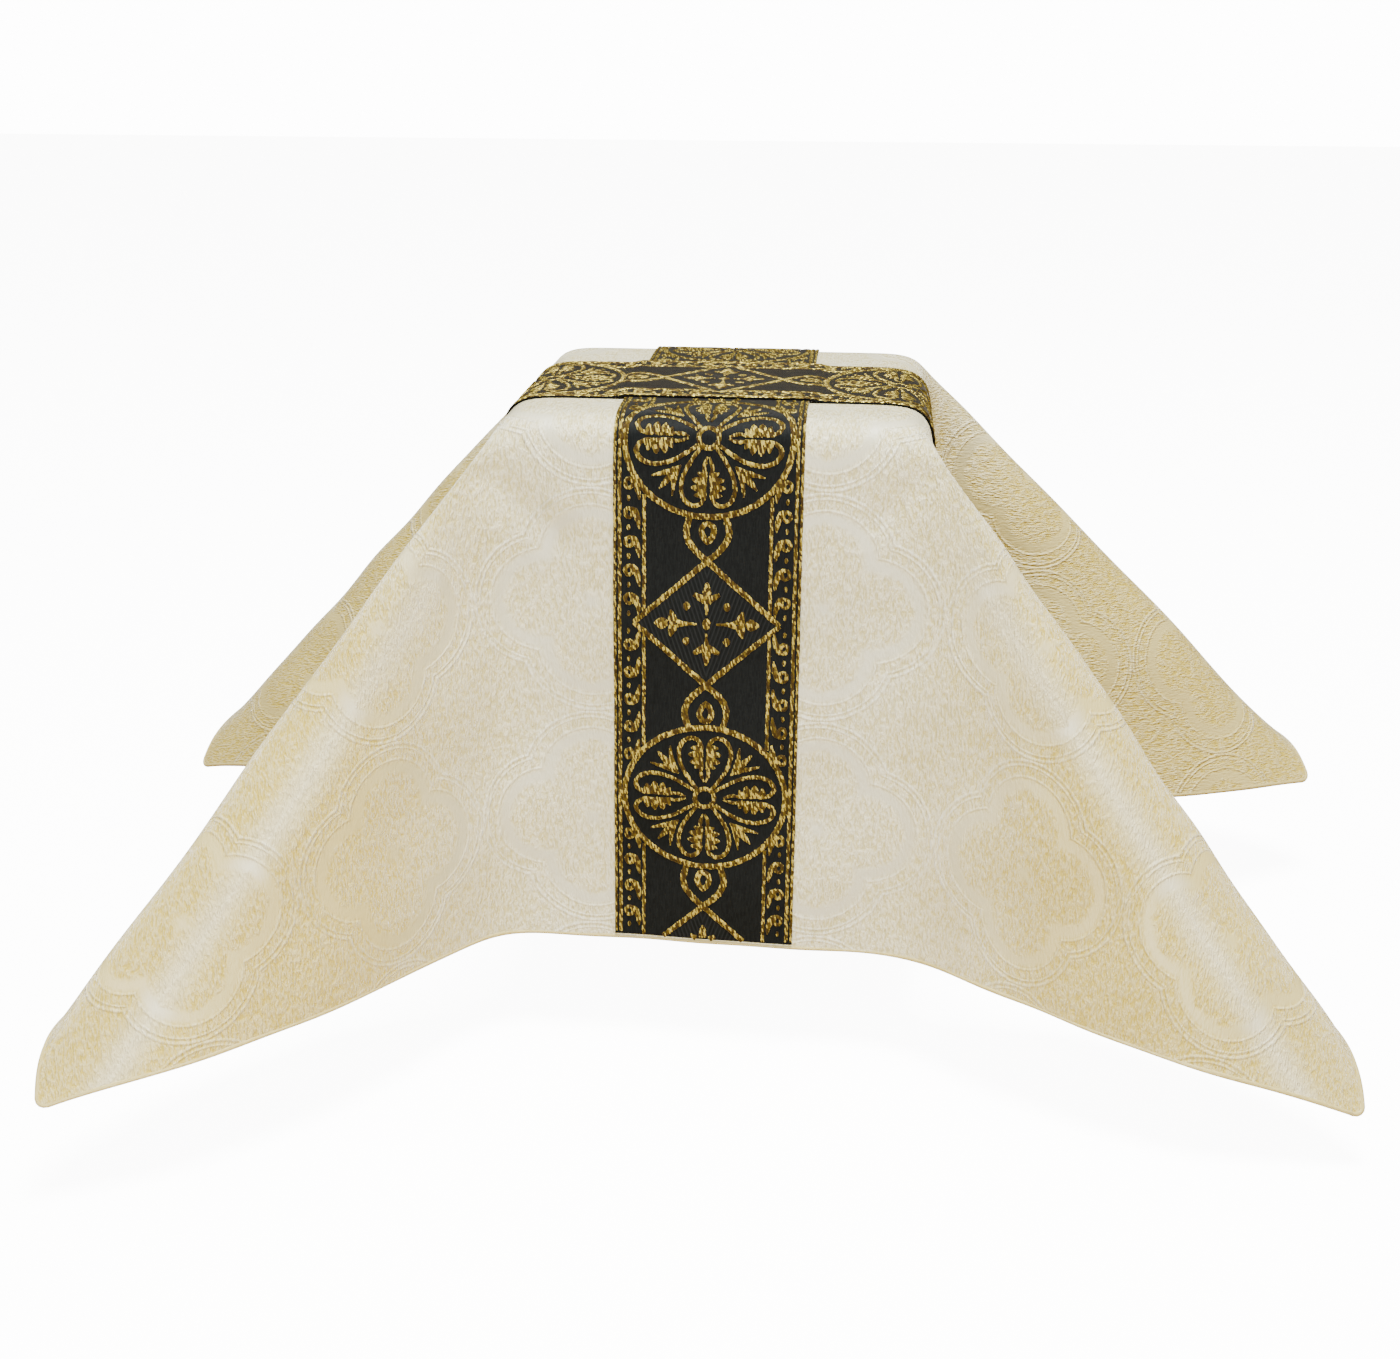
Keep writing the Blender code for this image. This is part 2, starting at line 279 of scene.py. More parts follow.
def addPiece(name, points, faces, flat, materials, materialOfFace=None):
    # A mesh from arrays, with the flat place of each point in its own UV map, in metres
    mesh = bpy.data.meshes.new(name)
    mesh.from_pydata(np.asarray(points, float).tolist(), [], faces)
    corner = np.zeros(len(mesh.loops), np.int32)
    mesh.loops.foreach_get("vertex_index", corner)
    flatMap = mesh.uv_layers.new(name="flat")
    flatMap.data.foreach_set("uv", np.asarray(flat, np.float32)[corner].ravel())
    for material in materials:
        mesh.materials.append(material)
    if materialOfFace is not None:
        mesh.polygons.foreach_set("material_index", np.asarray(materialOfFace, np.int32))
    mesh.shade_smooth()
    mesh.set_sharp_from_angle(angle=math.radians(sharpFrom))
    piece = bpy.data.objects.new(name, mesh)
    bpy.context.scene.collection.objects.link(piece)
    return piece


def addSheet(name, u, v, place, thickness, materials, slots=(0, 0, 0)):
    # A closed sheet over the flat grid (u, v): its outer face, its inner face turned over below, and
    # a rim between. slots gives the material of each of the three
    top = gridFaces(*u.shape)
    index = np.arange(u.size).reshape(u.shape)
    edge = np.concatenate([index[:-1, 0], index[-1, :-1], index[:0:-1, -1], index[0, :0:-1]])
    following = np.roll(edge, -1)
    rim = np.stack([following, edge, edge + u.size, following + u.size], -1)
    points = np.concatenate([place(u, v, lift).reshape(-1, 3) for lift in (0.0, -thickness)])
    faces = np.concatenate([top, top[:, ::-1] + u.size, rim])
    flat = np.tile(np.stack([u.ravel(), v.ravel()], -1), (2, 1))
    materialOfFace = np.repeat(slots, [len(top), len(top), len(rim)])
    return addPiece(name, points, faces.tolist(), flat, materials, materialOfFace)


def spacedLines(stops, steps):    # grid lines from stop to stop, each stretch cut evenly
    lines = [stops[:1]]
    for start, end, step in zip(stops[:-1], stops[1:], steps):
        count = max(1, math.ceil((end - start) / step - roundingSlack))
        lines.append(np.linspace(start, end, count + 1)[1:])
    return np.concatenate(lines)


# Shader helpers

class Field:    # one number that changes over a surface; the usual signs make Math nodes
    def __init__(self, tree, socket):
        self.tree = tree
        self.socket = socket

    def __add__(self, other):
        return calc("ADD", self, other)

    def __sub__(self, other):
        return calc("SUBTRACT", self, other)

    def __rsub__(self, other):
        return calc("SUBTRACT", other, self)

    def __mul__(self, other):
        return calc("MULTIPLY", self, other)

    def __truediv__(self, other):
        return calc("DIVIDE", self, other)


def plug(tree, node, values):    # link each field, or set each plain value, on its socket
    for key, value in values.items():
        if isinstance(value, Field):
            tree.links.new(value.socket, node.inputs[key])
        else:
            node.inputs[key].default_value = value


def calc(operation, *values, clamp=False):
    tree = next(value.tree for value in values if isinstance(value, Field))
    node = tree.nodes.new("ShaderNodeMath")
    node.operation = operation
    node.use_clamp = clamp
    plug(tree, node, dict(enumerate(values)))
    return Field(tree, node.outputs[0])


def below(value, limit, soft):    # 1 where value is under limit, 0 above it, soft wide between
    return calc("MULTIPLY_ADD", value, -1 / soft, limit / soft + 0.5, clamp=True)


def under(value, limit, soft):    # the same where the limit changes over the surface too
    return calc("MULTIPLY_ADD", limit - value, 1 / soft, 0.5, clamp=True)


def near(value, centre, half, soft):    # 1 within half of centre
    return below(calc("ABSOLUTE", value - centre), half, soft)


def rising(value, start, end):    # 0 up to start, 1 from end on, even between
    return calc("MULTIPLY_ADD", value, 1 / (end - start), -start / (end - start), clamp=True)


def fromTo(share, first, second):    # the number first where share is 0, second where it is 1
    return calc("MULTIPLY_ADD", share, second - first, first)


def most(*fields):
    result = fields[0]
    for field in fields[1:]:
        result = calc("MAXIMUM", result, field)
    return result


def joined(x, y):    # a vector from two numbers
    node = x.tree.nodes.new("ShaderNodeCombineXYZ")
    plug(x.tree, node, {"X": x, "Y": y})
    return Field(x.tree, node.outputs[0])


def distance(x, y):
    node = x.tree.nodes.new("ShaderNodeVectorMath")
    node.operation = "LENGTH"
    plug(x.tree, node, {0: joined(x, y)})
    return Field(x.tree, node.outputs["Value"])


def noise(x, y, perMm, detail, roughness=0.5):    # perMm is how fast it changes along x and y
    node = x.tree.nodes.new("ShaderNodeTexNoise")
    place = joined(x * perMm[0], y * perMm[1])
    plug(x.tree, node, {"Vector": place, "Scale": 1.0, "Detail": detail, "Roughness": roughness})
    return Field(x.tree, node.outputs[0])


def chance(x, y):    # one even random number for each pair of whole numbers
    node = x.tree.nodes.new("ShaderNodeTexWhiteNoise")
    node.noise_dimensions = "2D"
    plug(x.tree, node, {"Vector": joined(x, y)})
    return Field(x.tree, node.outputs["Value"])


def blended(share, first, second):    # the colour first where share is 0, second where it is 1
    node = share.tree.nodes.new("ShaderNodeMix")
    node.data_type = "RGBA"
    firstColour, secondColour, result = 6, 7, 2    # its colour sockets, which share their names
    plug(share.tree, node, {"Factor": share, firstColour: first, secondColour: second})
    return Field(share.tree, node.outputs[result])


def newGroup(name, outputs, **more):    # a node group of numbers; more inputs come with defaults
    group = bpy.data.node_groups.new(name, "ShaderNodeTree")
    inputs = {"Across": 0.0, "Along": 0.0, **more}
    for title, value in inputs.items():
        socket = group.interface.new_socket(name=title, in_out="INPUT", socket_type="NodeSocketFloat")
        socket.default_value = value
    for title in outputs:
        group.interface.new_socket(name=title, in_out="OUTPUT", socket_type="NodeSocketFloat")
    start = group.nodes.new("NodeGroupInput")
    end = group.nodes.new("NodeGroupOutput")
    return group, end, [Field(group, start.outputs[title]) for title in inputs]


def useGroup(group, across, along, **values):    # a placed group, as its outputs by name
    tree = across.tree
    node = tree.nodes.new("ShaderNodeGroup")
    node.node_tree = group
    plug(tree, node, {"Across": across, "Along": along, **values})
    return {output.name: Field(tree, output) for output in node.outputs}


def newMaterial(name, look, paint):
    # A material with the look's own values on its shader. paint gives its colour and its height
    # from the piece's two flat coordinates in mm, and the height is a bump.
    material = bpy.data.materials.new(name)
    material.use_nodes = True
    tree = material.node_tree
    flatMap = tree.nodes.new("ShaderNodeUVMap")
    flatMap.uv_map = "flat"
    split = tree.nodes.new("ShaderNodeSeparateXYZ")
    plug(tree, split, {0: Field(tree, flatMap.outputs[0])})
    colour, height = paint(*[Field(tree, split.outputs[axis]) * (1 / millimetre) for axis in "XY"])
    bump = tree.nodes.new("ShaderNodeBump")
    plug(tree, bump, {"Height": height, "Distance": look["bumpDepth"], "Strength": look["bumpStrength"]})
    normal = Field(tree, bump.outputs[0])
    plug(tree, tree.nodes["Principled BSDF"], {**look["surface"], "Base Color": colour, "Normal": normal})
    return material


# Jacquard cloth

crinkle = {    # grains and crinkles that run along the warp
    "drift": dict(perMm=(0.12, 0.12), detail=1.0), "driftBy": 1.5,    # mm that the rows wander
    "fine": dict(perMm=(0.86, 0.25), detail=2.0, roughness=0.6), "fineHeights": (-0.8, 1.8),
    "coarse": dict(perMm=(0.25, 0.10), detail=1.0),
    "fineShare": 0.7, "coarseShare": 0.6,
}
quatrefoil = {    # the woven figure in mm; three numbers are a place, its half width and softness
    "pitch": 124.0, "lobeOut": 24.0,    # from one to the next, and out to the middle of each lobe
    "lines": (((37.2, 0.7, 0.9), 1.0), ((34.6, 0.5, 0.8), 0.8), ((28.6, 0.6, 0.9), 0.7)),
    "border": (31.6, 1.9, 1.2), "borderShare": 0.6,
    "smooth": (24.0, 3.6, 4.0),
    "crumble": dict(perMm=(0.55, 0.40), detail=3.0, roughness=0.7), "crumbleBy": 9.0,
    "noiseMean": 0.5,
    "lobeLeafOut": 25.5, "lobeLeaf": dict(size=18.0, teeth=7.0),
    "starLeafOut": 28.0, "starLeaf": dict(size=10.0, teeth=5.0),
    "toothShare": 0.13, "leafSoft": 1.8, "vein": (0.0, 0.45, 0.7), "veinShare": 0.6,
    "knotRing": (4.2, 1.1, 0.8), "knotDot": (1.3, 0.8),
    "petals": 8.0, "petalRadius": 9.0, "petalDepth": 1.6, "petalSoft": 1.2, "petalCrumble": 0.6,
    "petalRing": (7.4, 3.2, 1.0), "heart": (2.4, 0.9),
    "sprigs": (((26.5, 0.0), (3.1, 1.2)), ((21.5, 4.0), (2.7, 1.2))), "sprigCrumble": 0.7,
    "stem": (0.7, 0.6), "stemRun": (18.0, 6.0, 0.8),
}
jacquard = {
    "step": 0.0036, "stepUnderBand": 0.0096,    # grid steps in the open and under the bands
    "underBand": 0.002,    # the wide steps start this far inside a band's edge
    "tipRadius": 0.006,    # the corners are turned with a small round
    "satin": (0.69, 0.645, 0.375, 1.0),
    # painted shade: the darker, creamier colour laid on the cloth away from the band and on the horns
    "paintedShadeCream": (0.57, 0.437, 0.058, 1.0),
    "figure": (0.58, 0.46, 0.13, 1.0),
    "plain": (0.50, 0.475, 0.33, 1.0),
    # painted glint: the whitish colour laid on the tops of the grains, on the raised lines, evenly in part
    # on the smooth band, and in the painted highlight
    "grainAndPaintedGlint": (0.92, 0.89, 0.70, 1.0),
    "slow": dict(perMm=(0.02, 0.02), detail=1.0),
    "paintedShade": (90.0, 210.0),    # mm from the middle where the painted shade sets in: the tone turns darker and creamier
    "onHorn": (112.0, 152.0),    # mm from the middle where a horn's painted highlight sets in
    "streak": (-20.0, 8.0, 26.0),    # its place beside the diagonal, half width, softness
    "streakKeeps": 0.3,    # share of the painted shade that is left in the painted highlight
    "slowTone": 0.4, "paintedShadeTone": 0.9, "figureTone": 0.15,
    "plainTone": (0.85, 0.30),    # beside the band, and away from it
    "paintedGlint": (0.60, 0.25),    # the same for the painted glints on the grains
    # shares of the painted glint: on the grains from this height on, on the smooth band, on the raised
    # lines and in the painted highlight
    "grainFrom": (0.38, 0.22), "smoothGlint": 0.40, "lineGlint": 0.6, "streakGlint": 0.55,
    "grainMean": 0.65, "grainOnSmooth": 0.2, "lineHeight": 0.55, "figureHeight": 0.08,
    "bumpDepth": 0.0011, "bumpStrength": 1.0,
    "surface": {
        "Roughness": 0.48, "Sheen Weight": 0.6, "Sheen Roughness": 0.25, "Specular IOR Level": 0.75},
}
lining = {
    "thread": 0.45, "weaveHeight": 0.2,    # mm between threads
    "slow": dict(perMm=(0.05, 0.011), detail=2.0),
    "deep": (0.60, 0.47, 0.27, 1.0), "pale": (0.60, 0.52, 0.39, 1.0),
    "bumpDepth": 0.0004, "bumpStrength": 0.6,
    "surface": {"Roughness": 0.55, "Sheen Weight": 0.15, "Specular IOR Level": 0.4},
}


def crepeGroup():    # height of the crinkles, from about 0 to 1
    group, end, (across, along) = newGroup("crepeCrinkle", ("Height",))
    drift = noise(across, along, **crinkle["drift"]) * crinkle["driftBy"]
    fine = noise(across + drift, along, **crinkle["fine"])
    coarse = noise(across - drift, along, **crinkle["coarse"])
    raised = fromTo(fine, *crinkle["fineHeights"])
    plug(group, end, {"Height": coarse * crinkle["coarseShare"] + raised * crinkle["fineShare"]})
    return group


def leaf(out, aside, size, teeth, crumble):
    # A rough round leaf about its own middle: its edge has soft teeth, crumble makes it uneven
    # and a thin vein stays open along its middle line
    wave = calc("COSINE", calc("ARCTAN2", aside, out) * teeth)
    edge = calc("MULTIPLY_ADD", wave, size * quatrefoil["toothShare"], size)
    body = under(distance(out, aside) + crumble, edge, quatrefoil["leafSoft"])
    return body * (1 - near(aside, *quatrefoil["vein"]) * quatrefoil["veinShare"])


def damaskGroup():
    # The woven figure, folded into one eighth of its repeat: x and y are the distances from the
    # middle of the nearest quatrefoil, in mm, with x the larger. Figure is the grainy weave,
    # Lines the raised outlines and Smooth the plain band of satin along the inside of each lobe.
    sizes = quatrefoil
    group, end, (across, along) = newGroup("damaskFigure", ("Figure", "Lines", "Smooth"))
    half = sizes["pitch"] / 2
    crumble = (noise(across, along, **sizes["crumble"]) - sizes["noiseMean"]) * sizes["crumbleBy"]
    first = half - calc("PINGPONG", across, half)
    second = half - calc("PINGPONG", along, half)
    x = calc("MAXIMUM", first, second)
    y = calc("MINIMUM", first, second)
    fromLobe = distance(x - sizes["lobeOut"], y)
    lines = most(*[near(fromLobe, *ring) * share for ring, share in sizes["lines"]])
    border = near(fromLobe, *sizes["border"]) * sizes["borderShare"]
    lobeLeaf = leaf(x - sizes["lobeLeafOut"], y, crumble=crumble, **sizes["lobeLeaf"])
    starX = half - x
    starY = half - y
    toKnot = distance(starX, y)
    knot = most(near(toKnot, *sizes["knotRing"]), below(toKnot, *sizes["knotDot"]))
    starLeaf = leaf(starY - sizes["starLeafOut"], starX, crumble=crumble, **sizes["starLeaf"])
    toStar = distance(starX, starY)
    petals = calc("COSINE", calc("ARCTAN2", starY, starX) * sizes["petals"])
    petalEdge = calc("MULTIPLY_ADD", petals, sizes["petalDepth"], sizes["petalRadius"])
    rosette = under(toStar + crumble * sizes["petalCrumble"], petalEdge, sizes["petalSoft"])
    rosette = rosette * near(toStar, *sizes["petalRing"])
    heart = below(toStar, *sizes["heart"])
    diagonal = (starX + starY) * math.sqrt(0.5)
    offDiagonal = (x - y) * math.sqrt(0.5)
    sprigs = [
        below(distance(diagonal - out, offDiagonal - aside) + crumble * sizes["sprigCrumble"], *disc)
        for (out, aside), disc in sizes["sprigs"]]
    stem = below(offDiagonal, *sizes["stem"]) * near(diagonal, *sizes["stemRun"])
    figure = most(lobeLeaf, starLeaf, rosette, heart, *sprigs, stem, knot, border)
    smooth = near(fromLobe, *sizes["smooth"]) * (1 - figure)
    plug(group, end, {"Figure": figure, "Lines": lines, "Smooth": smooth})
    return group


crepe = crepeGroup()
damask = damaskGroup()


def jacquardPaint(across, along):
    look = jacquard
    # the crinkles' height, which also places the painted glints
    grainAndPaintedGlint = useGroup(crepe, across, along)["Height"]
    woven = useGroup(damask, across, along)
    figure, lines, smooth = woven["Figure"], woven["Lines"], woven["Smooth"]
    slow = noise(across, along, **look["slow"])
    acrossSize, alongSize = calc("ABSOLUTE", across), calc("ABSOLUTE", along)
    # painted highlight: a lighter streak beside each horn's ridge, set by place on the flat cloth
    streak = near(acrossSize - alongSize, *look["streak"]) * rising(acrossSize, *look["onHorn"])
    # painted shade: darker and creamier away from the band, less so in the painted highlight; a slow random
    # tone is added to it
    paintedShade = rising(acrossSize, *look["paintedShade"]) * fromTo(streak, 1.0, look["streakKeeps"])
    toneAndPaintedShade = slow * look["slowTone"] + paintedShade * look["paintedShadeTone"]
    colour = blended(toneAndPaintedShade, look["satin"], look["paintedShadeCream"])
    colour = blended(figure * look["figureTone"], colour, look["figure"])
    colour = blended(smooth * fromTo(paintedShade, *look["plainTone"]), colour, look["plain"])
    # painted glints: the tops of the grains, the raised lines and, evenly, the smooth band are painted
    # whiter, fewer of them away from the band
    paintedGlintOnGrains = below(1 - grainAndPaintedGlint, *look["grainFrom"]) * (1 - smooth)
    paintedGlint = paintedGlintOnGrains + smooth * look["smoothGlint"] + lines * look["lineGlint"]
    paintedGlint = most(paintedGlint * fromTo(paintedShade, *look["paintedGlint"]), streak * look["streakGlint"])
    height = (grainAndPaintedGlint - look["grainMean"]) * fromTo(smooth, 1.0, look["grainOnSmooth"])
    height = height + lines * look["lineHeight"] + figure * look["figureHeight"]
    return blended(paintedGlint, colour, look["grainAndPaintedGlint"]), height


def liningPaint(across, along):
    perThread = math.pi / lining["thread"]
    weave = calc("SINE", across * perThread) * calc("SINE", along * perThread)
    slow = noise(across, along, **lining["slow"])
    return blended(slow, lining["deep"], lining["pale"]), weave * lining["weaveHeight"] + slow


def roundedTips(u, v):
    # Each corner square of the flat cloth, of side tipRadius, is drawn in to a quarter disc:
    # a and b from 0 to 1 move to a sqrt(1 - b^2 / 2) and b sqrt(1 - a^2 / 2)
    radius = jacquard["tipRadius"]
    a = np.clip((np.abs(u) - halfWidth + radius) / radius, 0, 1)
    b = np.clip((np.abs(v) - halfDepth + radius) / radius, 0, 1)
    roundU = np.sign(u) * (halfWidth - radius + radius * a * np.sqrt(1 - b * b / 2))
    roundV = np.sign(v) * (halfDepth - radius + radius * b * np.sqrt(1 - a * a / 2))
    corner = (a > 0) & (b > 0)
    return np.where(corner, roundU, u), np.where(corner, roundV, v)


def makeCloth(face, back):
    edge = band["width"] / 2 - jacquard["underBand"]
    steps = (jacquard["step"], jacquard["stepUnderBand"], jacquard["step"])
    uLine = spacedLines((-halfWidth, -edge, edge, halfWidth), steps)
    vLine = spacedLines((-halfDepth, -edge, edge, halfDepth), steps)
    u, v = roundedTips(*np.meshgrid(uLine, vLine, indexing="ij"))
    piece = addSheet("jacquardCloth", u, v, onCloth, drape["thickness"], (face, back), (0, 1, 0))
    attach(piece, "root")
    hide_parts("panel")
    return piece


# Rolled edge of the cloth

rolledEdge = {
    "radius": 0.0014, "outwards": 0.0003, "step": 0.0025, "sides": 10,
    "wobbles": ((0.07, 0.0093, 0.0), (0.05, 0.0231, 1.0)),    # share, metres for a radian, phase
    "stretch": 1.5,    # the crinkles run shorter here
    "pale": (0.62, 0.52, 0.21, 1.0), "deep": (0.50, 0.41, 0.14, 1.0),
    "bumpDepth": 0.0003, "bumpStrength": 0.7,
    "surface": {"Roughness": 0.45, "Sheen Weight": 0.25, "Specular IOR Level": 0.45},
}


def edgePaint(across, along):
    height = useGroup(crepe, across, along * rolledEdge["stretch"])["Height"]
    return blended(height, rolledEdge["pale"], rolledEdge["deep"]), height


def hemOutline():
    # Flat places all the way round the cut cloth, anticlockwise: straight sides and quarter
    # circles, and the outward direction at each place
    radius = jacquard["tipRadius"]
    middleU, middleV = halfWidth - radius, halfDepth - radius
    corners = ((1, -1, -90), (1, 1, 0), (-1, 1, 90), (-1, -1, 180))
    places, outwards = [], []
    arcSteps = math.ceil(radius * math.pi / 2 / rolledEdge["step"])
    for sideX, sideY, startAngle in corners:
        angle = np.radians(startAngle + np.linspace(0, 90, arcSteps + 1))
        direction = np.stack([np.cos(angle), np.sin(angle)], -1)
        arc = np.array([sideX * middleU, sideY * middleV]) + radius * direction
        places.append(arc)
        outwards.append(direction)
        run = 2 * (middleV if startAngle in (-90, 90) else middleU)
        count = round(run / rolledEdge["step"])
        share = np.linspace(0, 1, count + 1)[1:-1, None]
        tangent = np.array([-direction[-1][1], direction[-1][0]])
        places.append(arc[-1] + tangent * run * share)
        outwards.append(np.repeat(direction[-1:], count - 1, axis=0))
    return np.concatenate(places), np.concatenate(outwards)


def makeRolledEdge(material):
    # A soft tube round the cut edge: at each place of the outline a ring of points about the
    # middle of the cloth's thickness, slightly thicker and thinner by turns
    places, outwards = hemOutline()
    edge = onCloth(*places.T, 0.0)
    middle = onCloth(*places.T, -drape["thickness"] / 2)
    out = edge - onCloth(*(places - outwards * millimetre).T, 0.0)
    out /= np.linalg.norm(out, axis=1)[:, None]
    normal = (edge - middle) / (drape["thickness"] / 2)
    steps = np.linalg.norm(np.roll(middle, -1, axis=0) - middle, axis=1)
    length = np.concatenate([[0], np.cumsum(steps)[:-1]])
    wobble = 1 + sum(
        share * np.sin(length / run + phase) for share, run, phase in rolledEdge["wobbles"])
    angle = np.linspace(0, 2 * math.pi, rolledEdge["sides"], endpoint=False)
    ring = np.cos(angle)[None, :, None] * out[:, None] + np.sin(angle)[None, :, None] * normal[:, None]
    radius = (rolledEdge["radius"] * wobble)[:, None, None]
    points = (middle + out * rolledEdge["outwards"])[:, None] + radius * ring
    around = np.tile(angle * rolledEdge["radius"], (len(places), 1))
    flat = np.stack([around, np.repeat(length[:, None], len(angle), axis=1)], -1)
    faces = gridFaces(len(places), len(angle), closeRows=True, closeColumns=True)[:, ::-1]
    piece = addPiece("rolledEdge", points.reshape(-1, 3), faces.tolist(), flat.reshape(-1, 2), (material,))
    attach(piece, "root")
    return piece


# Woven bands

band = {
    "width": 0.100, "thickness": 0.001, "gap": 0.0003, "end": 0.002,
    "stepClearance": 0.001, "stepRamp": 0.009,
    "stepAlong": 0.0034, "stepAcross": 0.005,
}


def frontBackPlace(across, along, height):    # a place on the lower band; height above its face
    return onCloth(across, along, band["gap"] + band["thickness"] + height)


def sideSidePlace(across, along, height):    # a place on the upper band, which steps over the lower
    start = band["width"] / 2 + band["stepClearance"]
    rise = 1 - smoothStep((np.abs(along) - start) / band["stepRamp"])
    lift = band["gap"] + band["thickness"] + (band["gap"] + band["thickness"]) * rise
    return onCloth(along, -across, lift + height)


bands = {    # half is half the length, and hidden half of what the other band covers
    "FrontBack": dict(place=frontBackPlace, half=halfDepth - band["end"], hidden=0.0503),
    "SideSide": dict(place=sideSidePlace, half=halfWidth - band["end"], hidden=0.0),
}


def makeBand(title, material):
    # The black ground: a closed strip of even grid lines, carried by the band's own place function
    one = bands[title]
    edge = band["width"] / 2
    acrossLine = spacedLines((-edge, edge), (band["stepAcross"],))
    alongLine = spacedLines((-one["half"], one["half"]), (band["stepAlong"],))
    across, along = np.meshgrid(acrossLine, alongLine, indexing="ij")
    piece = addSheet("band" + title, across, along, one["place"], band["thickness"], (material,))
    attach(piece, "root")
    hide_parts("band_front_back" if title == "FrontBack" else "band_side_side")
    return piece


laying = {"seed": 3.7, "shift": 7.0, "endPower": 4.0}    # rows are shifted by chance, with blunt ends
blackWeave = {
    "thread": dict(Width=0.42, Length=3.0),    # mm
    "diamond": (38.5, 32.5), "diamondSoft": 0.05,    # half sizes of each ribbed diamond in mm
    "ribWidth": 2.3, "ribSlope": -0.34, "ribTone": 0.6,
    "threadHeight": 0.35, "ribHeight": 0.6,
    "deep": (0.0020, 0.0027, 0.0028, 1.0), "pale": (0.0055, 0.0068, 0.0070, 1.0),
    # painted sheen: the lighter colour laid on the crests of the ribs
    "paintedRibSheen": (0.016, 0.018, 0.019, 1.0),
    "bumpDepth": 0.00025, "bumpStrength": 0.6,
    "surface": {
        "Roughness": 0.55, "Specular IOR Level": 0.06, "Sheen Weight": 0.50, "Sheen Roughness": 0.30},
}
goldWeave = {
    "thread": dict(Width=0.72, Length=2.1, Slant=0.22),
    "patch": dict(perMm=(0.35, 0.18), detail=1.0),
    "toneShare": 0.95, "patchShare": 0.2, "darker": 0.08,
    "deepBelow": (0.42, 0.25), "brightAbove": (0.68, 0.2), "gapBelow": (0.25, 0.3), "gapShare": 0.75,
    "middle": (0.140, 0.095, 0.009, 1.0), "deep": (0.050, 0.029, 0.004, 1.0),
    # painted glint: the colour of the threads that come out lightest; painted shade: the dark brown between
    # the threads
    "paintedGlintGold": (0.66, 0.53, 0.11, 1.0), "gap": (0.05, 0.030, 0.008, 1.0),
    "bumpDepth": 0.0004, "bumpStrength": 0.8,
    "surface": {"Metallic": 0.6, "Roughness": 0.40, "Specular IOR Level": 0.3},
}


def offMiddle(value):    # 0 in the middle between two whole numbers, 1 at each of them
    return calc("ABSOLUTE", fromTo(calc("FRACT", value), -1.0, 1.0))


def threadGroup():
    # Threads that lie along the piece: Width wide, Length long, each row shifted by chance. Tone
    # is one random number for each thread, and Height is round across it.
    group, end, (across, along, width, length, slant) = newGroup(
        "layingThreads", ("Tone", "Height"), Width=1.0, Length=1.0, Slant=0.0)
    column = (across + along * slant) / width
    number = calc("FLOOR", column)
    row = along / length + chance(number, laying["seed"]) * laying["shift"]
    aside = offMiddle(column)
    height = (1 - aside * aside) * (1 - calc("POWER", offMiddle(row), laying["endPower"]))
    plug(group, end, {"Tone": chance(number, calc("FLOOR", row)), "Height": height})
    return group


threads = threadGroup()


def groundPaint(across, along):
    # Black weft threads, with steep V ribs inside each diamond whose crests carry a painted sheen
    look = blackWeave
    off = calc("ABSOLUTE", across)
    toDiamond = calc("PINGPONG", along, gold["repeat"] / 2)
    wide, long = look["diamond"]
    inDiamond = below(off / wide + toDiamond / long, 1.0, look["diamondSoft"])
    thread = useGroup(threads, across, along, **look["thread"])
    rib = calc("SINE", (off + along * look["ribSlope"]) * (2 * math.pi / look["ribWidth"]))
    ribSheenShare = calc("MULTIPLY", inDiamond * look["ribTone"], rib, clamp=True)
    colour = blended(thread["Tone"], look["deep"], look["pale"])
    height = thread["Height"] * look["threadHeight"] + rib * inDiamond * look["ribHeight"]
    return blended(ribSheenShare, colour, look["paintedRibSheen"]), height


def goldPaint(across, along):
    look = goldWeave
    thread = useGroup(threads, across, along, **look["thread"])
    patch = noise(across, along, **look["patch"])
    # one tone for each thread at random, with slow patches; it picks darker threads and the painted glints
    light = thread["Tone"] * look["toneShare"] + patch * look["patchShare"] - look["darker"]
    colour = blended(below(light, *look["deepBelow"]), look["middle"], look["deep"])
    # painted glints on the threads whose random tone is lightest
    colour = blended(1 - below(light, *look["brightAbove"]), colour, look["paintedGlintGold"])
    # painted shade in the low places between the threads
    gap = below(thread["Height"], *look["gapBelow"]) * look["gapShare"]
    return blended(gap, colour, look["gap"]), thread["Height"]


# Gold ornament of the bands. Sizes in mm: x across the band, y along it

gold = {
    "repeat": 196.0, "repeatsEachWay": 2,    # from diamond to diamond, with a medallion half way
    "edgeLines": ((49.2, 1.6), (46.6, 2.0)), "edgeStep": 1.6,    # place and width
    "sideHeart": (0.94, 1.10),    # the left and right hearts are narrower and longer
    "dots": (10.8, 9.6),    # beside the middle of each diamond
    "drops": 5, "dropSpacing": 15.5, "firstDrop": 12.6, "firstDot": 4.8,
    "curvePoints": 10, "ellipsePoints": 121,
    "step": 1.15, "fewestPoints": 3, "endMargin": 0.4,
    "ragged": 0.20, "raggedShare": 0.12, "leastWidth": 1e-6, "seed": 41,
    "shares": (0.0, 0.17, 0.5, 0.83, 1.0),    # foot, shoulder, crown, shoulder and foot
    "heights": (-0.08, 0.34, 0.40, 0.34, -0.08),    # how high each of the five stands on the band
    "fullWidth": 1.2, "lowest": 0.35,    # a slimmer line stands lower, down to this share
}


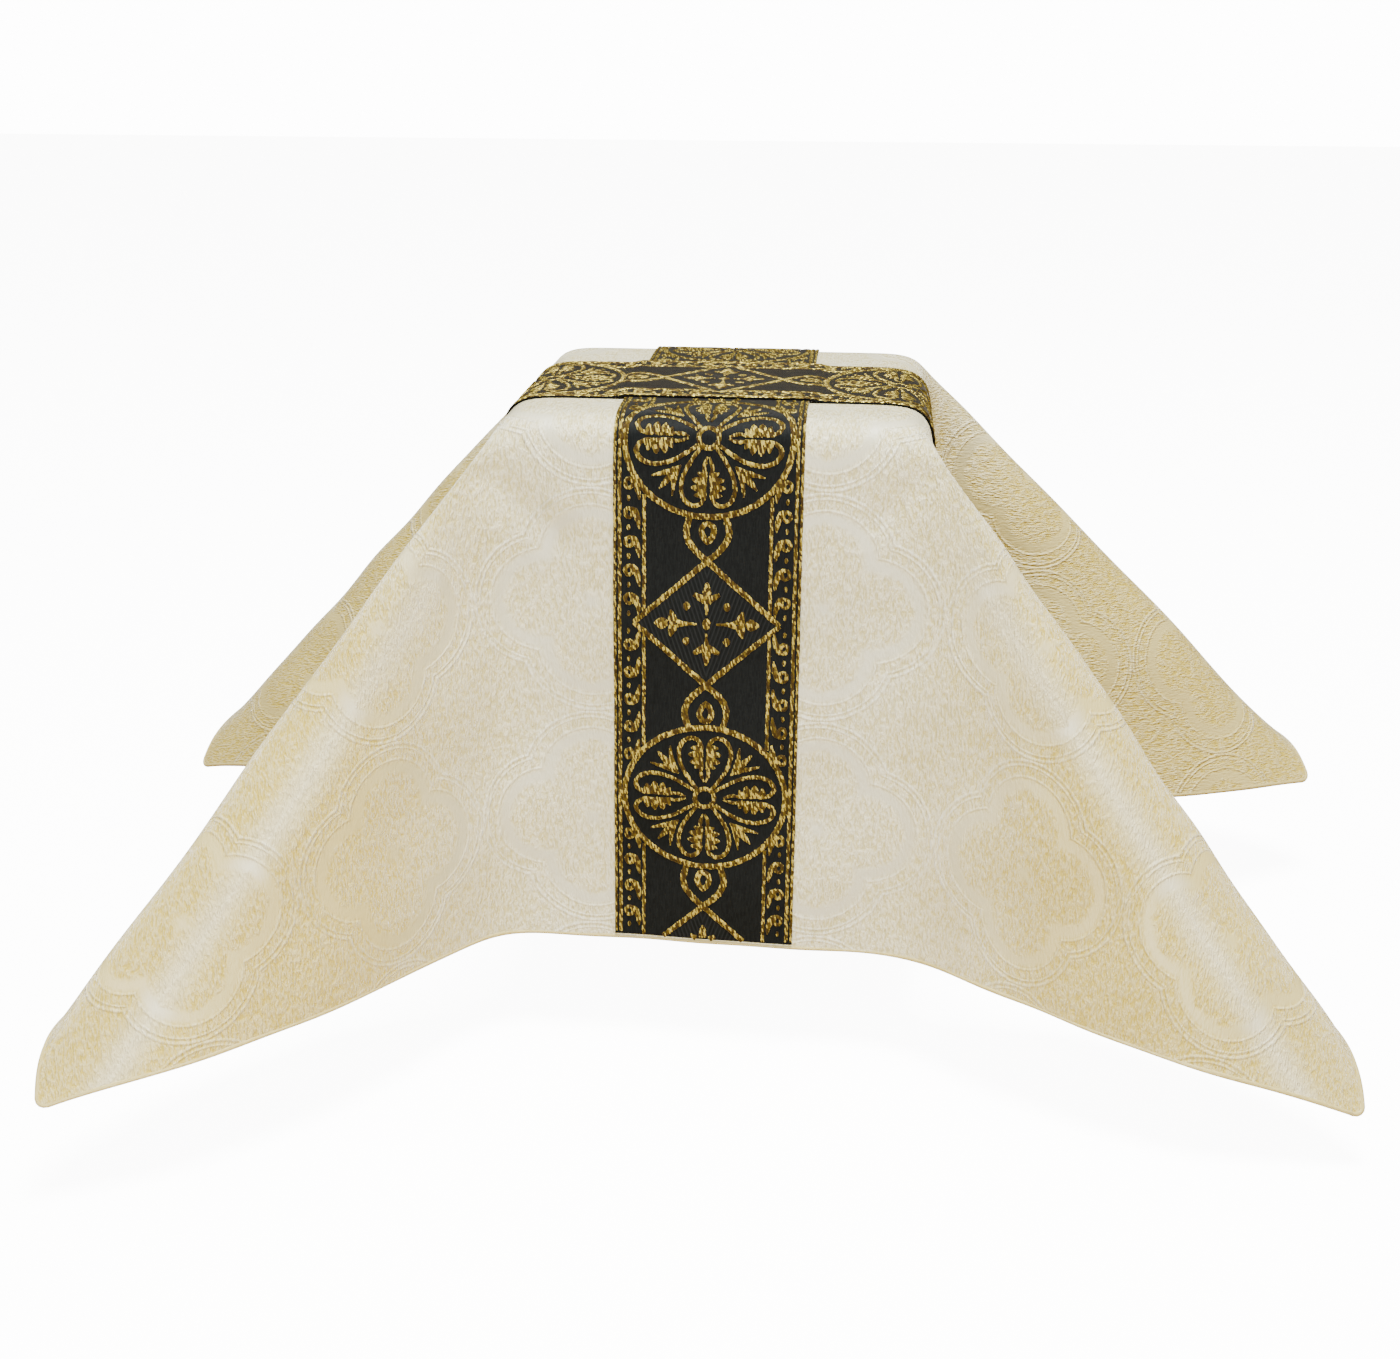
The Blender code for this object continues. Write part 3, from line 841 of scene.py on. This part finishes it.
def curve(points):
    # A smooth line through given points, each span blended by the same cubic weights
    points = np.array(points, float)
    wide = np.concatenate([2 * points[:1] - points[1:2], points, 2 * points[-1:] - points[-2:-1]])
    t = np.linspace(0, 1, gold["curvePoints"], endpoint=False)[None, :, None]
    shares = cubicWeights(t)
    spans = sum(shares[k] * wide[k:len(points) - 1 + k, None] for k in range(4))
    return np.concatenate([spans.reshape(-1, 2), points[-1:]])


def ellipse(radiusX, radiusY, x=0.0):
    angle = np.linspace(0, 2 * math.pi, gold["ellipsePoints"])
    return np.stack([x + radiusX * np.cos(angle), radiusY * np.sin(angle)], -1)


def evenly(path, step, closed):    # the same line with even steps
    lengths = np.concatenate([[0], np.cumsum(np.linalg.norm(np.diff(path, axis=0), axis=1))])
    count = max(gold["fewestPoints"], round(lengths[-1] / step))
    places = np.linspace(0, lengths[-1], count + 1)[:-1 if closed else None]
    return np.stack([np.interp(places, lengths, path[:, k]) for k in range(2)], -1)


def stroke(path, widths, closed=False, step=gold["step"]):
    # A line of gold as its two edges; widths is one number, or several evenly along the line
    path = evenly(np.asarray(path, float), step, closed)
    if closed:
        tangent = np.roll(path, -1, axis=0) - np.roll(path, 1, axis=0)
    else:
        tangent = np.gradient(path, axis=0)
    tangent /= np.linalg.norm(tangent, axis=1)[:, None]
    aside = np.stack([-tangent[:, 1], tangent[:, 0]], -1)
    widths = np.atleast_1d(np.array(widths, float))
    place = np.linspace(0, 1, len(path))
    half = np.interp(place, np.linspace(0, 1, len(widths)), widths)[:, None] / 2
    return dict(left=path - aside * half, right=path + aside * half, closed=closed)


strokes = {    # each line's points, and its widths from end to end
    "ring": stroke(ellipse(44.2, 40.2), 3.4, closed=True),
    "hub": stroke(ellipse(5.3, 5.3), 2.7, closed=True),
    "heart": stroke(
        curve(((4.2, 5.2), (8.2, 10.5), (12.4, 17.5), (14.2, 25.0), (12.6, 31.2), (8.2, 34.4),
               (4.0, 33.2), (1.9, 29.4), (2.4, 26.4), (4.4, 25.4))),
        (2.0, 2.3, 2.4, 2.5, 2.5, 2.3)),
    "flame": stroke(curve(((0.5, 9.4), (1.9, 13.2), (2.0, 16.2), (0.9, 19.4))), (1.0, 2.2, 2.0, 1.2)),
    "sprigs": (
        stroke(curve(((14.2, 13.8), (17.0, 18.6), (18.3, 23.6), (18.9, 29.4))), (0.8, 2.4, 3.0, 2.1, 0.8)),
        stroke(curve(((16.0, 15.8), (20.4, 20.0), (23.4, 23.2), (25.6, 25.8))), (0.8, 3.2, 4.0, 2.8, 0.8)),
        stroke(curve(((14.2, 13.8), (20.6, 16.9), (25.2, 18.0), (29.8, 19.2))), (0.8, 2.4, 3.0, 2.1, 0.8))),
    "centre": stroke(((0, -3.1), (0, 3.1)), (1.6, 4.6, 4.6, 1.6)),
    "dot": stroke(((0, -2.3), (0, 2.3)), (1.2, 4.2, 4.2, 1.2)),
    "stem": stroke(((0, 5.2), (0, 15.5)), (1.2, 1.8, 2.8, 5.0)),
    "longBud": stroke(((0, 20.6), (0, 28.0)), (2.4, 6.6, 7.0, 5.0, 1.2)),
    "longPetal": stroke(curve(((0.0, 17.6), (3.6, 18.4), (7.4, 19.2))), (5.4, 4.4, 1.2)),
    "shortBud": stroke(((0, 13.0), (0, 22.8)), (3.0, 4.6, 4.8, 3.2, 1.0)),
    "shortPetal": stroke(curve(((0.8, 12.4), (3.6, 14.4), (6.9, 16.2))), (3.6, 3.8, 2.4)),
    "link": stroke(
        curve(((-39.0, 0.0), (-19.5, 17.0), (-3.5, 31.0), (0.0, 34.2), (5.2, 38.4), (9.8, 44.0),
               (11.3, 50.0), (9.6, 57.4))),
        (3.0, 3.2, 3.2, 3.4, 3.8, 3.6)),
    "tear": stroke(
        curve(((0, 44.0), (2.5, 47.2), (3.3, 50.4), (2.3, 53.2), (0, 54.2), (-2.3, 53.2),
               (-3.3, 50.4), (-2.5, 47.2), (0, 44.0))),
        3.3, closed=True, step=1.4),
    "dropHead": stroke(ellipse(1.95, 2.5, 41.6), 2.3, closed=True, step=1.3),
    "dropTail": stroke(
        curve(((40.6, 2.4), (38.6, 1.4), (37.4, -1.6), (36.5, -5.0), (36.1, -8.6))),
        (2.4, 3.4, 3.4, 2.6, 0.9)),
    "dropDot": stroke(((41.8, -1.5), (41.8, 1.5)), (1.0, 2.0, 2.0, 1.0), step=0.9),
    "inner": stroke(((33.6, 5.4), (33.6, 69.0)), 2.0),    # the line between the drops and the middle
}
palmette = {    # the leaf inside a heart, from start on; reach is its half width along it
    "start": 17.0, "length": 14.5, "points": 40,
    "reachAt": (0, 0.10, 0.35, 0.62, 0.85, 1), "reach": (1.2, 5.8, 8.8, 9.4, 7.6, 2.2),
    "teeth": 4.0, "firstTooth": 0.12, "toothPower": 0.7, "toothDepth": 0.50,
    "core": 0.9, "lean": 0.30, "leanFades": 1.2,
    "split": 0.45, "splitOpens": 1.6, "splitPower": 3,
}


def palmetteHalf():
    # Right half of the leaf, its tip towards the ring: from a narrow split in the middle out to an
    # edge cut into teeth, which lean towards the tip
    s = np.linspace(0, 1, palmette["points"])
    y = palmette["start"] + palmette["length"] * s
    reach = np.interp(s, palmette["reachAt"], palmette["reach"]) - palmette["core"]
    tooth = np.abs(np.sin(math.pi * (palmette["teeth"] * s + palmette["firstTooth"])))
    cut = palmette["toothDepth"] * (1 - tooth ** palmette["toothPower"])
    edge = palmette["core"] + reach * (1 - cut)
    split = palmette["split"] + palmette["splitOpens"] * s ** palmette["splitPower"]
    lower = palmette["lean"] * edge * (1 - palmette["leanFades"] * s)
    return dict(left=np.stack([split, y], -1), right=np.stack([edge, y - lower], -1), closed=False)


def moved(shape, scale=(1, 1), turn=0, shift=(0, 0)):
    # A shape scaled, turned by quarter turns and moved; a mirrored one has its edges swapped
    angle = turn * math.pi / 2
    cos, sin = round(math.cos(angle)), round(math.sin(angle))
    edges = []
    for edge in (shape["left"], shape["right"]):
        x, y = edge[:, 0] * scale[0], edge[:, 1] * scale[1]
        edges.append(np.stack([x * cos - y * sin + shift[0], x * sin + y * cos + shift[1]], -1))
    if scale[0] * scale[1] < 0:
        edges.reverse()
    return dict(left=edges[0], right=edges[1], closed=shape["closed"])


def mirrored(shapes):    # the four copies of each shape, left and right, below and above
    return [moved(part, (x, y)) for part in shapes for x in (-1, 1) for y in (-1, 1)]


def medallion():
    shapes = [strokes["ring"], strokes["hub"]]
    lobe = (strokes["heart"], palmetteHalf(), strokes["flame"])
    for turn in range(4):
        wide, long = gold["sideHeart"] if turn % 2 else (1, 1)
        for side in (-1, 1):
            shapes += [moved(part, (side * wide, long), turn) for part in lobe]
    return shapes + mirrored(strokes["sprigs"])


def fleur(size):
    # A small lily pointing along +y: a stem that widens, a middle petal and two side petals
    petal = strokes[size + "Petal"]
    return [strokes["stem"], strokes[size + "Bud"], moved(petal, (-1, 1)), moved(petal, (1, 1))]


def diamond():
    shapes = [strokes["centre"]]
    for turn in range(4):
        shapes += [moved(part, turn=turn) for part in fleur("long" if turn % 2 else "short")]
    outX, outY = gold["dots"]
    shapes += [moved(strokes["dot"], shift=(x * outX, y * outY)) for x in (-1, 1) for y in (-1, 1)]
    shapes += mirrored([strokes["link"]])
    return shapes + [moved(strokes["tear"], (1, y)) for y in (-1, 1)]


def edgeDrops():
    # Teardrops and dots down both edges, from the middle of a diamond to the next medallion
    shapes = [strokes["inner"]]
    for number in range(gold["drops"]):
        run = number * gold["dropSpacing"]
        shapes += [
            moved(strokes[name], shift=(0, gold["firstDrop"] + run)) for name in ("dropHead", "dropTail")]
        shapes.append(moved(strokes["dropDot"], shift=(0, gold["firstDot"] + run)))
    return mirrored(shapes)


def ornament(half, hidden):
    # Every gold shape of one band, by repeat, with what lies past its ends or under the other
    # band cut away
    reach = half / millimetre
    shapes = []
    for edge in (-1, 1):
        for place, width in gold["edgeLines"]:
            ends = ((edge * place, -reach), (edge * place, reach))
            shapes.append(stroke(ends, width, step=gold["edgeStep"]))
    count = gold["repeatsEachWay"]
    for number in range(-count, count + 1):
        centre = (0, number * gold["repeat"])
        shapes += [moved(part, shift=centre) for part in diamond() + edgeDrops()]
    for number in range(-count, count):
        centre = (0, (number + 0.5) * gold["repeat"])
        shapes += [moved(part, shift=centre) for part in medallion()]
    kept = []
    for shape in shapes:
        middle = np.abs(shape["left"][:, 1] + shape["right"][:, 1]) / 2
        shown = (middle < reach - gold["endMargin"]) & (middle >= hidden / millimetre)
        if shown.all():
            kept.append(shape)
            continue
        if shape["closed"] and shown.any():
            start = int(np.argmin(shown))
            shape = dict(
                left=np.roll(shape["left"], -start, axis=0),
                right=np.roll(shape["right"], -start, axis=0), closed=False)
            shown = np.roll(shown, -start)
        breaks = np.flatnonzero(np.diff(shown.astype(int))) + 1
        for run in np.split(np.arange(len(shown)), breaks):
            if shown[run[0]] and len(run) >= gold["fewestPoints"]:
                kept.append(dict(left=shape["left"][run], right=shape["right"][run], closed=False))
    return kept


def makeGold(title, material):
    # Each pair of edges becomes a low closed ridge: foot, shoulder, crown, shoulder, foot
    one = bands[title]
    seeded = np.random.default_rng(gold["seed"])
    shares, heights = np.array(gold["shares"]), np.array(gold["heights"])
    columns = len(shares)
    flat, lifts, faces, first = [], [], [], 0
    for shape in ornament(one["half"], one["hidden"]):
        left, right = shape["left"], shape["right"]
        rows = len(left)
        over = right - left
        wide = np.linalg.norm(over, axis=1)[:, None]
        rag = np.minimum(gold["ragged"], wide * gold["raggedShare"]) / np.maximum(wide, gold["leastWidth"])
        left = left + over * rag * seeded.uniform(-1, 1, (rows, 1))
        right = right + over * rag * seeded.uniform(-1, 1, (rows, 1))
        flat.append((left[:, None] + (right - left)[:, None] * shares[None, :, None]).reshape(-1, 2))
        slim = np.clip(wide / gold["fullWidth"], gold["lowest"], 1)
        lifts.append((heights[None] * slim).ravel())
        quads = gridFaces(rows, columns, closeRows=shape["closed"], closeColumns=True) + first
        faces += quads.tolist()
        if not shape["closed"]:
            ends = first + np.arange(rows * columns).reshape(rows, columns)
            faces += [ends[0].tolist(), ends[-1][::-1].tolist()]
        first += rows * columns
    flat = np.concatenate(flat) * millimetre
    lifts = np.concatenate(lifts) * millimetre
    points = one["place"](flat[:, 0], flat[:, 1], lifts)
    piece = addPiece("gold" + title, points, faces, flat, (material,))
    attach(piece, "root")
    print("gold" + title, "faces:", len(faces))
    return piece


# Camera, light and floor

view = {
    "place": (0.0812, -1.0111, 0.2040), "lens": 46.286, "sensor": 36,
    "azimuth": 5.3447, "elevation": 20.6143, "roll": 0.1622,    # degrees
}
stage = {
    "floor": -0.350, "floorSize": 14.0, "floorRoughness": 0.9,
    "seenWhite": 14.0, "skyLight": 0.12, "floorGlow": 11.0,    # only the camera sees the first and last
    "white": (1.0, 1.0, 1.0, 1.0), "skyColour": (1.0, 0.78, 0.45, 1.0),
    "floorSeen": (0.93, 0.93, 0.93, 1.0), "floorColour": (0.42, 0.30, 0.12, 1.0),
}
lights = (    # round area lights that face the middle; sizes in metres, power in watts
    dict(name="frontKey", place=(0.0, -1.30, -0.10), size=0.35, power=19, colour=(1.0, 1.0, 1.0)),
    dict(name="topLight", place=(0.15, -0.25, 2.3), size=0.9, power=215, colour=(1.0, 1.0, 0.97)),
    dict(name="warmFill", place=(2.0, -0.5, 0.3), size=0.8, power=3.5, colour=(1.0, 0.60, 0.20)),
)


def makeCamera():
    azimuth, elevation = math.radians(view["azimuth"]), math.radians(view["elevation"])
    back = Vector((
        math.sin(azimuth) * math.cos(elevation),
        -math.cos(azimuth) * math.cos(elevation),
        math.sin(elevation)))
    level = Vector((0, 0, 1)).cross(back).normalized()
    turn = Matrix.Rotation(math.radians(view["roll"]), 3, back)
    right = turn @ level
    up = back.cross(right)
    data = bpy.data.cameras.new("photoCamera")
    data.lens = view["lens"]
    data.sensor_width = view["sensor"]
    camera = bpy.data.objects.new("photoCamera", data)
    turned = Matrix((right, up, back)).transposed().to_4x4()
    camera.matrix_world = Matrix.Translation(view["place"]) @ turned
    bpy.context.scene.collection.objects.link(camera)
    bpy.context.scene.camera = camera


def makeLight(name, place, size, power, colour):
    data = bpy.data.lights.new(name, "AREA")
    data.shape = "DISK"
    data.size = size
    data.energy = power
    data.color = colour
    light = bpy.data.objects.new(name, data)
    light.location = place
    light.rotation_euler = (-Vector(place)).to_track_quat("-Z", "Y").to_euler()
    bpy.context.scene.collection.objects.link(light)


def cameraRays(tree):    # 1 for what the camera sees itself, 0 for light that reaches the pieces
    return Field(tree, tree.nodes.new("ShaderNodeLightPath").outputs["Is Camera Ray"])


def makeStage():
    world = bpy.data.worlds.new("paleStudio")
    world.use_nodes = True
    tree = world.node_tree
    rays = cameraRays(tree)
    plug(tree, tree.nodes["Background"], {
        "Color": blended(rays, stage["skyColour"], stage["white"]),
        "Strength": fromTo(rays, stage["skyLight"], stage["seenWhite"])})
    bpy.context.scene.world = world
    for light in lights:
        makeLight(**light)
    half = stage["floorSize"] / 2
    corners = [(-half, -half), (half, -half), (half, half), (-half, half)]
    mesh = bpy.data.meshes.new("floor")
    mesh.from_pydata([(x, y, stage["floor"]) for x, y in corners], [], [(0, 1, 2, 3)])
    material = bpy.data.materials.new("paleFloor")
    material.use_nodes = True
    tree = material.node_tree
    rays = cameraRays(tree)
    plug(tree, tree.nodes["Principled BSDF"], {
        "Roughness": stage["floorRoughness"], "Emission Color": stage["white"],
        "Base Color": blended(rays, stage["floorColour"], stage["floorSeen"]),
        "Emission Strength": rays * stage["floorGlow"]})
    mesh.materials.append(material)
    floor = bpy.data.objects.new("floor", mesh)
    bpy.context.scene.collection.objects.link(floor)


makeCamera()
makeStage()
print("camera, light and floor set")

woven = newMaterial("ivoryJacquard", jacquard, jacquardPaint)
cloth = makeCloth(woven, newMaterial("creamLining", lining, liningPaint))
hem = makeRolledEdge(newMaterial("rolledEdgeCloth", rolledEdge, edgePaint))
print("cloth and rolled edge made")

ground = newMaterial("blackGround", blackWeave, groundPaint)
goldThread = newMaterial("goldThread", goldWeave, goldPaint)
lowerBand = makeBand("FrontBack", ground)
upperBand = makeBand("SideSide", ground)
lowerGold = makeGold("FrontBack", goldThread)
upperGold = makeGold("SideSide", goldThread)
print("bands and their gold made")
